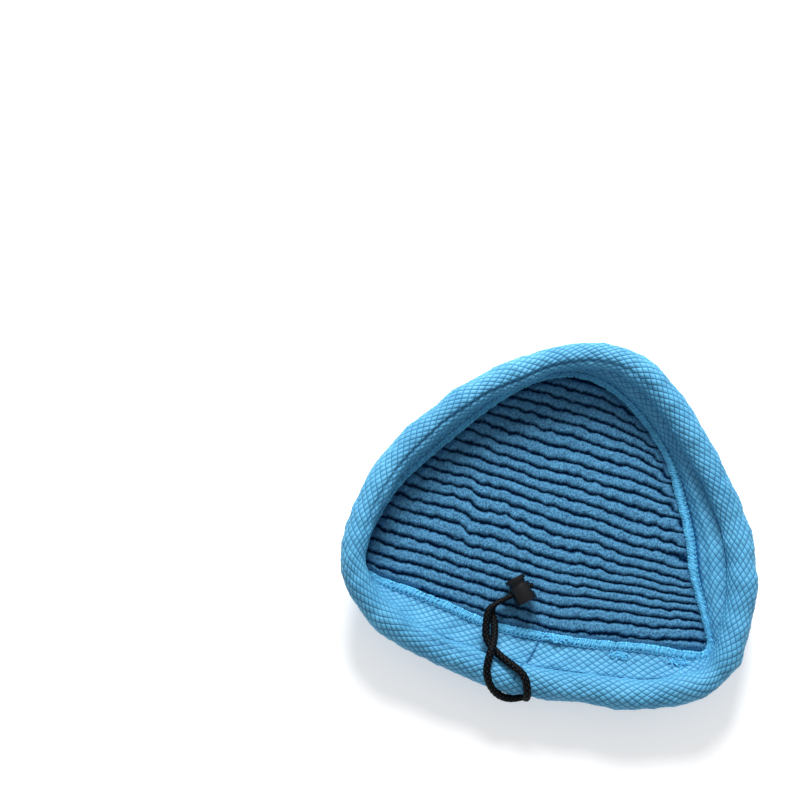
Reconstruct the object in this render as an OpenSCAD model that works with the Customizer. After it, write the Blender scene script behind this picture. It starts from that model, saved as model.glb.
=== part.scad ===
// Drawstring chenille wash mitt, lying with its pocket open upwards.
// +X runs along the wide near edge, +Y towards the rounded tip, +Z up.
// The origin is on the ground under the middle of the hem's outline.

/* [Base cloth] */
// Height of the chenille pile that the mitt rests on
pile_h = 14; // [8:0.5:22]
// How far the pile spreads past the base cloth
pile_spread = 6; // [0:0.5:8]
// Thickness of the knitted backing that carries the chenille
backing_t = 1.5; // [1:0.1:3]
// Thickness of the ribbed lining, its pile included
lining_t = 4.5; // [3:0.5:6]

/* [Band and hem] */
// Thickness of the quilted air-mesh cloth
band_t = 2.5; // [1.5:0.1:3]
// Outside radius of the stuffed-looking hem that the cord runs in
hem_r = 9.5; // [8:0.1:11]
// Width of the overlocked seam allowance
overlock_w = 5.5; // [4:0.5:7]
// Height of the overlocked edge above the lining's underside
overlock_h = 4.6; // [3:0.1:6]

/* [Drawstring] */
// Diameter of the braided cord
cord_d = 5; // [3:0.1:5.4]
// Diameter to which the lock's holes squeeze it
cord_nip_d = 3.4; // [3:0.1:3.4]

/* [Cord lock] */
// Diameter of the barrel
barrel_d = 15; // [14:0.1:17]
// Length of the barrel
barrel_l = 12.2; // [12:0.1:14]
// Diameter of the plunger
plunger_d = 11.4; // [11:0.1:11.6]
// Running clearance between plunger and barrel, on the radius
run_gap = 0.1; // [0.05:0.01:0.15]
// Travel of the plunger
plunger_travel = 2.5; // [2:0.1:2.5]
// Wire diameter of the spring
wire_d = 0.5; // [0.4:0.1:0.5]
// Mean diameter of the spring's coil
spring_d = 7; // [5:0.1:8]
// Number of coils in the spring
spring_turns = 3; // [2:1:3]

/* [Hidden] */
$fn = 64;

lining_z = pile_h + backing_t;       // underside of the lining
seam_z = lining_z + 1.5;             // mid-height of the band where it joins the base

// Each station around the mitt, anticlockwise from the middle of the near edge:
// [x, y of the lining's edge, x, y, z of the centre of the hem].
STATIONS = [
    [0, -77, 0, -110, 27],       [35, -75, 39, -107, 27],      [72, -70, 78, -102, 28],
    [103, -68, 107, -90, 30],    [113, -63, 122, -72, 33],     [106, -44, 126, -45, 34],
    [94, -19, 125, -17, 34],     [86, 6, 117, 11, 34],         [75, 31, 100, 39, 35],
    [63, 54, 78, 65, 38],        [43, 76, 53, 91, 42],         [23, 90, 29, 106, 45],
    [1, 97, 5, 108, 46],        [-22, 93, -21, 101, 46],      [-44, 79, -47, 85, 45],
    [-64, 58, -75, 63, 44],      [-87, 28, -101, 32, 43],      [-107, 0, -119, 0, 43],
    [-118, -30, -127, -32, 44],  [-122, -54, -127, -58, 44],   [-111, -64, -116, -77, 40],
    [-88, -67, -94, -93, 35],    [-62, -71, -63, -103, 30],    [-30, -77, -30, -108, 27]];
rings = 96;                          // sections in every band that runs round the mitt
hem_arc = 10;                        // steps in the hem's round part

// The two free ends of the cord, from the buttonhole to the lock.
TAIL_LEFT = [
    [14, -112.5, 26], [9, -114.5, 26], [4.5, -117.5, 26], [0.5, -120.5, 25.8],
    [-4.5, -122.8, 25.2], [-9.5, -123.9, 25], [-15, -123.2, 27], [-20, -120.5, 30.5],
    [-24, -116, 34.5], [-26.5, -110.5, 37.6], [-27.2, -104, 39.3], [-26.8, -97.5, 39.1],
    [-26.2, -91, 35.3], [-26.4, -85, 30.6], [-27.6, -79, 27.2], [-29.6, -74, 25.8],
    [-30.6, -70, 25.6], [-28.8, -65.6, 25.9], [-24.4, -61.9, 26.1], [-20.2, -58.4, 26.1],
    [-15, -54, 26.1], [-10.4, -50.1, 26.1], [-8.1, -48.2, 26.1]];
TAIL_RIGHT = [
    [-8, -112.3, 26.5], [-3.5, -115, 26.5], [0, -118, 27], [1.6, -120.7, 28.8],
    [2.2, -121, 32], [2, -119, 35.6], [1, -115.5, 38.4], [-0.6, -111.3, 39.7],
    [-4, -107, 39.8], [-9.5, -103.8, 38.6], [-15.5, -101, 36.6], [-21.5, -97.8, 34.2],
    [-27.3, -93.5, 31.7], [-31.3, -88, 30.4], [-32.6, -82, 30.4], [-33.3, -75.5, 30.8],
    [-32.8, -70, 30.9], [-28.8, -65.6, 30], [-24.4, -61.9, 29.5], [-20.2, -58.4, 29.5],
    [-15, -54, 29.5], [-10.4, -50.1, 29.5], [-8.1, -48.2, 29.5]];
nipped_points = 6;                   // last points of each tail, where the lock squeezes it
buttonhole_at = [3, -119.2, 26.5];
buttonhole_l = 15;
buttonhole_h = 8.4;
buttonhole_rim = 1.7;
buttonhole_t = 1.6;
end_seam_at = 0.1;                   // place of the band's end seam, in stations
stitch_proud = 0.4;

lock_at = [-15, -54, 27.8];        // middle of the lock's hole
lock_turn = 40;                      // direction of the cord through it
spring_room = 1.7;                   // length of the spring's pocket with the plunger pressed

// ---- points and sections ---------------------------------------------------
function wrap(i, n) = (i % n + n) % n;

// Smooth closed curve through the stations, at t stations from the first.
function spline(p0, p1, p2, p3, u) =
    0.5 * (2 * p1 + (p2 - p0) * u + (2 * p0 - 5 * p1 + 4 * p2 - p3) * u * u
           + (3 * p1 - p0 - 3 * p2 + p3) * u * u * u);
function station(t) =
    let (n = len(STATIONS), i = floor(t), u = t - i)
    spline(STATIONS[wrap(i - 1, n)], STATIONS[wrap(i, n)],
           STATIONS[wrap(i + 1, n)], STATIONS[wrap(i + 2, n)], u);
function around(k, n = rings) = station(k * len(STATIONS) / n);

// The lining's edge moved outwards by d.
function edge_point(k, d, n = rings) =
    let (s = around(k, n), a = around(k - 0.5, n), b = around(k + 0.5, n),
         run = [b[0] - a[0], b[1] - a[1]] / norm([b[0] - a[0], b[1] - a[1]]))
    [s[0] + d * run[1], s[1] - d * run[0]];
function edge_outline(d) = [for (k = [0:rings - 1]) edge_point(k, d)];

// Where the folded-in edge of the hem meets the wall, and the hem's round part.
// A section's own axes are [outwards, up], from the lining's edge.
meet_far = 1.3;                      // distance of that meeting from the hem's centre, in hem radii
spread = acos(1 / meet_far);
fold_gap = 0.1;
fold_end = 1.6;                      // how far the folded edge lies on the wall past the stitching
wall_start = [overlock_w - 2.5, 0];
function polar(r, a) = [r * cos(a), r * sin(a)];
function bezier(a, b, c, u) = a * (1 - u) * (1 - u) + b * 2 * u * (1 - u) + c * u * u;
function hem_centre(s) = [norm([s[2] - s[0], s[3] - s[1]]), s[4] - seam_z];
function meet_angle(s) =
    let (c = hem_centre(s)) 360 + atan2(-c[1], overlock_w - c[0]);
function meeting(s) = hem_centre(s) + polar(meet_far * (hem_r - band_t / 2), meet_angle(s));
function section_line(s) =
    let (c = hem_centre(s), r = hem_r - band_t / 2, a = meet_angle(s), meet = meeting(s),
         low = [max(overlock_w + 1, 0.6 * meet[0]), 0.15 * meet[1]])
    [for (u = [0:2]) bezier(wall_start, low, meet, u / 3), meet,
     for (k = [0:hem_arc]) c + polar(r, a + spread + k * (360 - 2 * spread) / hem_arc),
     meet + polar(band_t + fold_gap, a - 90),
     meet + polar(band_t + fold_gap, a - 90) + polar(fold_end, a)];

// Both faces of a strip of thickness t that follows a line.
function side(line, k) =
    let (a = line[max(k - 1, 0)], b = line[min(k + 1, len(line) - 1)], d = (b - a) / norm(b - a))
    [-d[1], d[0]];
function strip(line, t) = concat(
    [for (k = [0:len(line) - 1]) line[k] - side(line, k) * t / 2],
    [for (k = [len(line) - 1:-1:0]) line[k] + side(line, k) * t / 2]);

// A section's point in space, at station s.
function place(s, p) =
    let (d = [s[2] - s[0], s[3] - s[1]] / norm([s[2] - s[0], s[3] - s[1]]))
    [s[0] + d[0] * p[0], s[1] + d[1] * p[0], seam_z + p[1]];

// Closed solid from sections of equal length, the last joined to the first.
module loop_solid(sections) {
    n = len(sections);
    m = len(sections[0]);
    polyhedron(
        points = [for (s = sections) each s],
        faces = [for (i = [0:n - 1], j = [0:m - 1])
            let (a = i * m + j, b = i * m + (j + 1) % m,
                 c = ((i + 1) % n) * m + (j + 1) % m, d = ((i + 1) % n) * m + j)
            each [[a, b, c], [a, c, d]]],
        convexity = 8);
}

// Tube through a route's points, with a radius at each.
function unit(v) = v / norm(v);
function tube_axes(route, up, k = 0) =
    k == len(route) ? [] :
    let (d = unit(route[min(k + 1, len(route) - 1)] - route[max(k - 1, 0)]),
         v = unit(up - (up * d) * d))
    concat([[cross(d, v), v]], tube_axes(route, v, k + 1));
module tube(route, radii, sides) {
    n = len(route);
    axes = tube_axes(route, [0.02, 0.03, 1]);
    polyhedron(
        points = [for (k = [0:n - 1], j = [0:sides - 1])
            let (a = j * 360 / sides)
            route[k] + radii[k] * (axes[k][0] * cos(a) + axes[k][1] * sin(a))],
        faces = concat(
            [[for (j = [0:sides - 1]) j]],
            [[for (j = [sides - 1:-1:0]) (n - 1) * sides + j]],
            [for (k = [0:n - 2], j = [0:sides - 1])
                let (a = k * sides + j, b = k * sides + (j + 1) % sides)
                each [[a, a + sides, b + sides], [a, b + sides, b]]]),
        convexity = 8);
}

// ---- base cloth ------------------------------------------------------------
module chenille_pile() {
    color("#2f6288") linear_extrude(pile_h) polygon(edge_outline(pile_spread));
}

module chenille_backing() {
    color("#376d95") translate([0, 0, pile_h])
        linear_extrude(backing_t) polygon(edge_outline(1));
}

module ribbed_lining() {
    color("#3d7aa3") translate([0, 0, lining_z]) linear_extrude(lining_t) polygon(edge_outline(0));
}

// ---- band ------------------------------------------------------------------
module mesh_band() {
    color("#67b4dd") loop_solid([for (k = [0:rings - 1])
        let (s = around(k)) [for (p = strip(section_line(s), band_t)) place(s, p)]]);
}

// Serged edge that holds backing, lining and band together.
module overlock_seam() {
    color("#3f93cf") loop_solid([for (k = [0:rings - 1])
        let (s = around(k))
        [for (p = [[0.2, -1.4], [overlock_w - 2.7, -1.4], [overlock_w - 2.7, 1.4],
                   [overlock_w, 1.7], [overlock_w - 1, overlock_h - 2],
                   [1, overlock_h - 1.5], [0.2, 1.6]]) place(s, p)]]);
}

// Lockstitch that closes the hem onto the wall.
module casing_stitch() {
    color("#2f86c4") loop_solid([for (k = [0:rings - 1])
        let (s = around(k), through = polar(1, meet_angle(s) - 90), along = polar(1, meet_angle(s)),
             low = -band_t / 2 - stitch_proud, high = 1.5 * band_t + fold_gap + stitch_proud)
        [for (q = [[0.2, low], [1.2, low], [1.2, high], [0.2, high]])
            place(s, meeting(s) + along * q[0] + through * q[1])]]);
}

// Butt seam where the two ends of the band strip meet.
module band_end_seam() {
    s = station(end_seam_at);
    line = section_line(s);
    ends = [for (k = [1, 3]) line[k] + side(line, k) * band_t / 2];
    color("#2f86c4") hull() for (p = ends) translate(place(s, p)) sphere(r = 0.7, $fn = 12);
}

// Stitched buttonhole through which both ends of the cord leave the hem.
module slot(length, height) {
    square([length - height, height], center = true);
    for (x = [-1, 1]) translate([x * (length - height) / 2, 0]) circle(d = height);
}
module buttonhole() {
    color("#2f86c4") translate(buttonhole_at) rotate([90, 0, 0])
        linear_extrude(buttonhole_t, center = true) difference() {
            slot(buttonhole_l, buttonhole_h);
            slot(buttonhole_l - 2 * buttonhole_rim, buttonhole_h - 2 * buttonhole_rim);
        }
}

// ---- drawstring ------------------------------------------------------------
module drawstring_in_casing() {
    n = rings / 2;
    color("#17191c") loop_solid([for (k = [0:n - 1])
        let (s = around(k, n), low = [0, cord_d / 2 + band_t - hem_r + 1])
        [for (j = [0:7]) place(s, hem_centre(s) + low + polar(cord_d / 2, -j * 45))]]);
}

function tail_radii(route) =
    [for (k = [0:len(route) - 1])
        (k < len(route) - nipped_points ? cord_d : cord_nip_d) / 2];
module drawstring_tail_left() {
    color("#17191c") tube(TAIL_LEFT, tail_radii(TAIL_LEFT), 10);
}
module drawstring_tail_right() {
    color("#17191c") tube(TAIL_RIGHT, tail_radii(TAIL_RIGHT), 10);
}

// ---- cord lock ---------------------------------------------------------------
// The lock's own axes: x along the cord, y along the plunger, away from the hem.
module at_lock() translate(lock_at) rotate([0, 0, lock_turn]) children();
module along_y(from, to) translate([0, from, 0]) rotate([-90, 0, 0]) linear_extrude(to - from)
    children();

nip_half = 1.9;                      // half the width left for the cord at rest
cord_slot = 9.2;                     // height of the holes
barrel_hole_w = 5.6;
barrel_floor = 1;
plunger_web = 1.3;                   // plunger left under its own hole
head_l = 2.6;
head_gap = 0.3;                      // gap under the head with the plunger pressed
plunger_hole_to = nip_half + plunger_travel + head_gap;
plunger_end = -nip_half - plunger_web;
pocket_end = plunger_end - plunger_travel - spring_room;
barrel_from = pocket_end - barrel_floor;
barrel_to = barrel_from + barrel_l;
head_from = barrel_to + plunger_travel + head_gap;

// Hole with flat sides and round ends, along x.
module cord_hole(from, to) {
    translate([0, (from + to) / 2, 0]) intersection() {
        rotate([0, 90, 0]) cylinder(h = barrel_d + 4, d = cord_slot, center = true);
        cube([barrel_d + 6, to - from, cord_slot + 2], center = true);
    }
}

module lock_barrel() {
    color("#1f2125") at_lock() difference() {
        along_y(barrel_from, barrel_to) circle(d = barrel_d);
        along_y(pocket_end, barrel_to + 1) circle(d = plunger_d + 2 * run_gap);
        cord_hole(nip_half - barrel_hole_w, nip_half);
    }
}

module lock_plunger() {
    color("#24262a") at_lock() difference() {
        union() {
            along_y(plunger_end, head_from) circle(d = plunger_d);
            along_y(head_from, head_from + head_l) circle(d = barrel_d - 1);
        }
        cord_hole(-nip_half, plunger_hole_to);
    }
}

module lock_spring() {
    steps = 10;                      // rings in each coil
    end_gap = 0.05;
    low = pocket_end + wire_d / 2 + end_gap;
    high = plunger_end - wire_d / 2 - end_gap;
    route = [for (k = [0:spring_turns * steps])
        [spring_d / 2 * cos(k * 360 / steps), low + (high - low) * k / (spring_turns * steps),
         spring_d / 2 * sin(k * 360 / steps)]];
    color("silver") at_lock() tube(route, [for (p = route) wire_d / 2], 6);
}

chenille_pile();
chenille_backing();
ribbed_lining();
mesh_band();
overlock_seam();
casing_stitch();
band_end_seam();
buttonhole();
drawstring_in_casing();
drawstring_tail_left();
drawstring_tail_right();
lock_barrel();
lock_plunger();
lock_spring();
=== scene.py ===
# %% [markdown]
# # A drawstring wash mitt, laid pocket up
#
# The mitt is a rounded triangle of chenille cloth with a ribbed lining. A band of quilted air mesh is
# sewn round its edge, folded over at the top into a hem, and a black cord with a spring lock runs in
# the hem. Nearly all of it is cloth, so nearly all of it is made here by mesh code: grids of points
# that are bent into shape, quilted and ribbed by formulas. Only the cord lock is hard, and that is
# modelled with Blender's own primitives and edit-mode tools.
#
# The frame is the functional model. It fixes where everything is, and nothing here moves it.

# %% Load the frame
import math

import bmesh
import bpy
import numpy as np
from mathutils import Matrix, Vector


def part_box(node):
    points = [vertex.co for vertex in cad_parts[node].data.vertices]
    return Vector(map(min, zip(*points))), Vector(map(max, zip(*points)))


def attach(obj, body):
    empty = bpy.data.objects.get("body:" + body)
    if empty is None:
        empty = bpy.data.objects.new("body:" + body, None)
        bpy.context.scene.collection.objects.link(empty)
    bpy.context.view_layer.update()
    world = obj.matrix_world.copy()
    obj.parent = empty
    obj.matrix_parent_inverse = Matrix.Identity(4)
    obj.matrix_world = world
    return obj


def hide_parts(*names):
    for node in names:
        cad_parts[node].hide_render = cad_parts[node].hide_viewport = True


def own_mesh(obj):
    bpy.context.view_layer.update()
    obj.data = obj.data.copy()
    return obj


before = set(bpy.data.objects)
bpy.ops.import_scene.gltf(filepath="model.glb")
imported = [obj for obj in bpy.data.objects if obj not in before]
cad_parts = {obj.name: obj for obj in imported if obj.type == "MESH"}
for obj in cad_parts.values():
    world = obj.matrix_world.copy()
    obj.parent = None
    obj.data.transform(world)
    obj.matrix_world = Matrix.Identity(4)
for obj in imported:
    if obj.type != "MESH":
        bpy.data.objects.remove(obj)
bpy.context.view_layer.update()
MM = 0.001

# %% [markdown]
# ## The camera
#
# The mitt lies on the ground and is looked at from almost straight above, from its wide edge. A
# camera could be dragged into place by hand; giving it an azimuth, an elevation and the width it sees
# at the mitt's distance says the same thing in numbers that can be changed one at a time. It aims
# beside the mitt, so no lens shift is needed to put the mitt in the lower right of the picture.

# %% Camera
azimuth, elevation = math.radians(12.6), math.radians(79)
distance, seen_width = 1.0, 0.545
aim = np.array([-0.121, 0.055, 0.020])
look = np.array([-math.sin(azimuth) * math.cos(elevation), math.cos(azimuth) * math.cos(elevation),
                 -math.sin(elevation)])
right = np.array([math.cos(azimuth), math.sin(azimuth), 0.0])
up = np.cross(right, look)

camera = bpy.data.objects.new("camera", bpy.data.cameras.new("camera"))
camera.data.lens = camera.data.sensor_width * distance / seen_width
camera.location = aim - look * distance
axes = np.array([right, up, -look]).T
camera.rotation_mode = "QUATERNION"
camera.rotation_quaternion = Matrix(axes.tolist()).to_quaternion()
bpy.context.collection.objects.link(camera)
bpy.context.scene.camera = camera
bpy.context.scene.view_settings.view_transform = "Standard"
print("lens", round(camera.data.lens, 1), "mm")

# %% [markdown]
# ## Where the band runs
#
# A pattern cutter would mark the mitt's edge at a couple of dozen places and join the marks with a
# smooth line. Each mark here has two parts: where the lining ends on the base, and where the middle
# of the hem stands outside and above it. A closed spline through the marks gives both lines at any
# place between them. The spline counts in marks, so a small table of lengths turns that into even
# steps, which keeps the quilting the same size all the way round.

# %% Marks round the mitt
# [x, y of the lining's edge, x, y, z of the hem's middle], anticlockwise from the middle of the near edge
marks = MM * np.array([
    [0, -77, 0, -110, 27],       [35, -75, 39, -107, 27],      [72, -70, 78, -102, 28],
    [103, -68, 107, -90, 30],    [113, -63, 122, -72, 33],     [106, -44, 126, -45, 34],
    [94, -19, 125, -17, 34],     [86, 6, 117, 11, 34],         [75, 31, 100, 39, 35],
    [63, 54, 78, 65, 38],        [43, 76, 53, 91, 42],         [23, 90, 29, 106, 45],
    [1, 97, 5, 108, 46],        [-22, 93, -21, 101, 46],      [-44, 79, -47, 85, 45],
    [-64, 58, -75, 63, 44],      [-87, 28, -101, 32, 43],      [-107, 0, -119, 0, 43],
    [-118, -30, -127, -32, 44],  [-122, -54, -127, -58, 44],   [-111, -64, -116, -77, 40],
    [-88, -67, -94, -93, 35],    [-62, -71, -63, -103, 30],    [-30, -77, -30, -108, 27]])
lining_low, lining_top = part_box("ribbed_lining")[0][2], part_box("ribbed_lining")[1][2]
seam_z = lining_low + 1.5 * MM


def closed_curve(rows, t):
    """The smooth closed curve through the rows, at t rows from the first."""
    i = np.floor(t).astype(int)
    u = (t - i)[:, None]
    a, b, c, d = (rows[(i + k) % len(rows)] for k in (-1, 0, 1, 2))
    return 0.5 * (2 * b + (c - a) * u + (2 * a - 5 * b + 4 * c - d) * u**2
                  + (3 * b - a - 3 * c + d) * u**3)


dense_t = np.linspace(0, len(marks), 4801)
dense = closed_curve(marks, dense_t)
seam_line, hem_line = slice(0, 2), slice(2, 5)


def even(line, count):
    """count places round the mitt, evenly spaced along one of the two lines, and that line's length."""
    steps = np.linalg.norm(np.diff(dense[:, line], axis=0), axis=1)
    length = np.concatenate([[0], np.cumsum(steps)])
    return np.interp(np.arange(count) / count * length[-1], length, dense_t), length[-1]


seam_length, hem_length = even(seam_line, 8)[1], even(hem_line, 8)[1]
print("seam", round(seam_length, 3), "m, hem", round(hem_length, 3), "m")

# %% [markdown]
# ## From grids of points to meshes
#
# Cloth is a grid: so many points round the mitt, so many across. A few short functions turn a grid
# into a mesh, give it a UV map that counts in the cloth's own pattern, and tie it to its body. Doing
# this once keeps each piece's own code down to its shape.

# %% Grid and tube meshes
def unit(v):
    return v / np.maximum(np.linalg.norm(v, axis=-1, keepdims=True), 1e-12)


def ripple(points, wavelength, seed, waves=14):
    """A smooth uneven number from about -1 to 1 at each point, from waves of mixed direction."""
    rng = np.random.default_rng(seed)
    ways = unit(rng.normal(size=(waves, 3))) * 2 * np.pi / wavelength
    ways *= rng.uniform(0.6, 1.5, (waves, 1))
    phases = rng.uniform(0, 2 * np.pi, waves)
    return np.cos(points @ ways.T + phases).sum(-1) / np.sqrt(waves) / 1.2


def new_object(name, points, faces, corner_uv=None, values=None):
    """A smooth-shaded object; values are point attributes by name."""
    mesh = bpy.data.meshes.new(name)
    mesh.from_pydata(points.tolist(), [], faces if isinstance(faces, list) else faces.tolist())
    if corner_uv is not None:
        mesh.uv_layers.new(name="cloth").data.foreach_set("uv", corner_uv.ravel())
    for key, numbers in (values or {}).items():
        mesh.attributes.new(key, "FLOAT", "POINT").data.foreach_set("value", np.ravel(numbers))
    mesh.polygons.foreach_set("use_smooth", [True] * len(mesh.polygons))
    mesh.update()
    piece = bpy.data.objects.new(name, mesh)
    bpy.context.collection.objects.link(piece)
    return piece


def grid_object(name, points, uv=None, wrap=(True, True), values=None):
    """points is (n, m, 3). uv, if given, is (n + 1, m + 1, 2), so a wrapped edge has both its values."""
    n, m = points.shape[:2]
    i, j = np.meshgrid(np.arange(n - (not wrap[0])), np.arange(m - (not wrap[1])), indexing="ij")
    corners = [(i, j), (i + 1, j), (i + 1, j + 1), (i, j + 1)]
    faces = np.stack([(a % n) * m + b % m for a, b in corners], -1).reshape(-1, 4)
    flat = points.reshape(-1, 3)
    a, b, c = (flat[faces[:, k]] for k in (0, 1, 2))
    inside_out = wrap == (True, True) and (a * np.cross(b, c)).sum() < 0
    order = [0, 3, 2, 1] if inside_out else [0, 1, 2, 3]
    corner_uv = None
    if uv is not None:
        corner_uv = np.stack([uv[corners[k][0], corners[k][1]] for k in order], -2)
    return new_object(name, flat, faces[:, order], corner_uv, values)


def tube_object(name, paths, radii, sides, up, values=None):
    """paths is (k, r, 3): k tubes of r rings with both ends capped. radii is (k, r) or (k, r, sides)."""
    k, r = paths.shape[:2]
    radii = np.broadcast_to(radii[..., None] if radii.ndim == 2 else radii, (k, r, sides))
    along = unit(np.gradient(paths, axis=1))
    v = np.broadcast_to(np.asarray(up, float), (k, 3))
    rings = np.empty((k, r, sides, 3))
    turn = np.arange(sides) * 2 * np.pi / sides
    for i in range(r):
        v = unit(v - (v * along[:, i]).sum(-1, keepdims=True) * along[:, i])
        w = np.cross(along[:, i], v)
        spoke = v[:, None] * np.cos(turn)[:, None] + w[:, None] * np.sin(turn)[:, None]
        rings[:, i] = paths[:, i, None] + radii[:, i, :, None] * spoke
    points = np.concatenate([rings.reshape(k, -1, 3), paths[:, [0, -1]]], axis=1)
    i, j = np.meshgrid(np.arange(r - 1), np.arange(sides), indexing="ij")
    j2 = (j + 1) % sides
    walls = np.stack([i * sides + j, i * sides + j2, (i + 1) * sides + j2, (i + 1) * sides + j], -1)
    j, j2, last = np.arange(sides), (np.arange(sides) + 1) % sides, (r - 1) * sides
    first_cap = np.stack([np.full(sides, r * sides), j2, j], -1)
    last_cap = np.stack([np.full(sides, r * sides + 1), last + j, last + j2], -1)
    size = r * sides + 2
    base = (np.arange(k) * size)[:, None, None]
    faces = (base + walls.reshape(1, -1, 4)).reshape(-1, 4).tolist()
    faces += (base + np.concatenate([first_cap, last_cap])[None]).reshape(-1, 3).tolist()
    spread = {}
    for key, numbers in (values or {}).items():          # one number per ring, or one per tube
        numbers = np.broadcast_to(np.asarray(numbers, float).reshape(k, -1), (k, r))
        spread[key] = np.concatenate(
            [np.repeat(numbers, sides, axis=1), numbers[:, [0, -1]]], axis=1)
    return new_object(name, points.reshape(-1, 3), faces, None, spread)


def belongs(piece, material, slot, *nodes, body="cover"):
    """Gives a piece its material and body, and hides the frame's nodes that it stands for. slot is not used.
    """
    piece.data.materials.clear()
    piece.data.materials.append(material)
    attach(piece, body)
    if nodes:
        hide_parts(*nodes)
    print(piece.name, len(piece.data.polygons), "faces")
    return piece


# %% [markdown]
# ## Shader maths
#
# A material is a tree of nodes. Built by hand it is wired up with the mouse; built in a script, long
# chains of Math nodes are hard to read. This small class wraps one output socket, so that ordinary
# arithmetic on it adds the nodes, and one method makes any other kind of node.

# %% The shader-maths class
class Wire:
    """An output socket that can be used in arithmetic."""

    def __init__(self, tree, socket):
        self.tree, self.socket = tree, socket

    def node(self, kind, settings=None, out=0, **inputs):
        """Any node. settings are set first, inputs are values or wires by socket name or index."""
        made = self.tree.nodes.new("ShaderNode" + kind)
        for key, value in (settings or {}).items():
            if key == "stops":
                for stop, (place, colour) in zip(made.color_ramp.elements, value):
                    stop.position, stop.color = place, (*colour, 1)
            else:
                setattr(made, key, value)
        for key, value in inputs.items():
            index = int(key[1:]) if key[0] == "_" and key[1:].isdigit() else key.replace("_", " ")
            if isinstance(value, Wire):
                self.tree.links.new(value.socket, made.inputs[index])
            else:
                made.inputs[index].default_value = value
        return Wire(self.tree, made.outputs[out])

    def maths(self, operation, *others):
        return self.node("Math", {"operation": operation}, _0=self,
                         **{f"_{k + 1}": other for k, other in enumerate(others)})

    def __add__(self, other):
        return self.maths("ADD", other)

    def __sub__(self, other):
        return self.maths("SUBTRACT", other)

    def __mul__(self, other):
        return self.maths("MULTIPLY", other)

    def __truediv__(self, other):
        return self.maths("DIVIDE", other)

    def __rsub__(self, other):
        return self.node("Math", {"operation": "SUBTRACT"}, _0=other, _1=self)

    __radd__, __rmul__ = __add__, __mul__

    def power(self, other):
        return self.maths("POWER", other)

    def least(self, other):
        return self.maths("MINIMUM", other)

    def to_line(self):
        """Distance from the nearest whole number, from 0 to 0.5."""
        return self.maths("PINGPONG", 0.5)

    def noise(self, scale, detail=2.0):
        """Noise over the wire's places."""
        return self.node("TexNoise", None, 0, Vector=self, Scale=scale, Detail=detail)

    def attribute(self, name):
        """A number that the mesh carries on its points."""
        return self.node("Attribute", {"attribute_name": name}, 2)

    def between(self, low, high, from_value=0.0, to_value=1.0):
        """from_value at or under low, to_value at or over high, and a straight line between."""
        return self.node("MapRange", {"clamp": True}, _0=self, _1=low, _2=high, _3=from_value,
                         _4=to_value)

    def mix(self, first, second):
        """first where this is 0, second where it is 1; both are colours."""
        return self.node("Mix", {"data_type": "RGBA"}, out=2, _0=self, _6=first, _7=second)


def start_material(name, **fixed):
    """A new material, a wire with the object's own coordinates, and its Principled shader."""
    material = bpy.data.materials.new(name)
    material.use_nodes = True
    tree = material.node_tree
    shader = tree.nodes["Principled BSDF"]
    for key, value in fixed.items():
        shader.inputs[key.replace("_", " ")].default_value = value
    start = Wire(tree, shader.outputs[0])
    return material, start.node("TexCoord", None, 3), shader


def connect(wire, shader, socket):
    wire.tree.links.new(wire.socket, shader.inputs[socket])


def bump(height, shader, depth, strength=1.0):
    """Feeds the shader's Normal from a height in depths of the given size, in metres."""
    made = height.node("Bump", None, Strength=strength, Distance=depth, Height=height)
    connect(made, shader, "Normal")


def srgb(red, green, blue):
    """A colour given on the usual 0 to 255 scale, as the shader wants it."""
    c = np.array([red, green, blue]) / 255
    return (*np.where(c <= 0.04045, c / 12.92, ((c + 0.055) / 1.055) ** 2.4).tolist(), 1.0)


# %% [markdown]
# ## Materials
#
# Every cloth here gets its look in three layers: the mesh has the big shapes, a bump map has the
# threads, and the colour darkens in the low places, because light hardly gets out of them. The air
# mesh counts its quilting from the UV map, where one unit is one diamond, so the creases stay on the
# pillows however the band bends. The piles use the object's own coordinates, in metres.

# %% The band's air mesh
air_mesh, space, shader = start_material("air mesh", Specular_IOR_Level=0.22)
cloth = space.node("UVMap", {"uv_map": "cloth"})
across = cloth.node("SeparateXYZ", None, 0, _0=cloth)
up_cloth = cloth.node("SeparateXYZ", None, 1, _0=cloth)
crease = (across + up_cloth).to_line().least((across - up_cloth).to_line())
patches = space.noise(45.0, 3.0)
grain = space.noise(1500.0, 2.0)
knit = ((across * 12.0).to_line() + (up_cloth * 9.0).to_line()) * 0.5
open_cloth = crease.between(0.0, 0.11) * 0.78 + grain.between(0.3, 0.7) * 0.22
low = patches.between(0.3, 0.7).mix(srgb(13, 78, 126), srgb(19, 90, 140))
high = patches.between(0.3, 0.7).mix(srgb(82, 159, 200), srgb(98, 177, 216))
# The band's shade attribute is painted shade: the air mesh is darker in its groove, folds and dents, beside
# the overlock, behind the buttonhole and inside the casing.
painted_shade = space.attribute("shade")
connect((open_cloth * painted_shade).mix(low, high), shader, "Base Color")
connect(crease.between(0.0, 0.2, 0.75, 0.42), shader, "Roughness")
bump(crease.between(0.0, 0.14) * 0.6 + knit * 0.15 + grain * 0.25, shader, 0.5 * MM, 0.8)

# %% The overlocked seam and the other sewing thread
seam_thread, space, shader = start_material("sewing thread", Roughness=0.6, Specular_IOR_Level=0.1)
fuzz = space.noise(1500.0, 3.0)
low_place = space.attribute("low")
raised = (1.0 - low_place) * fuzz.between(0.35, 0.6, 0.6, 1.0)
connect(raised.mix(srgb(8, 66, 126), srgb(110, 210, 255)), shader, "Base Color")
bump(fuzz, shader, 0.8 * MM, 0.9)

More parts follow.
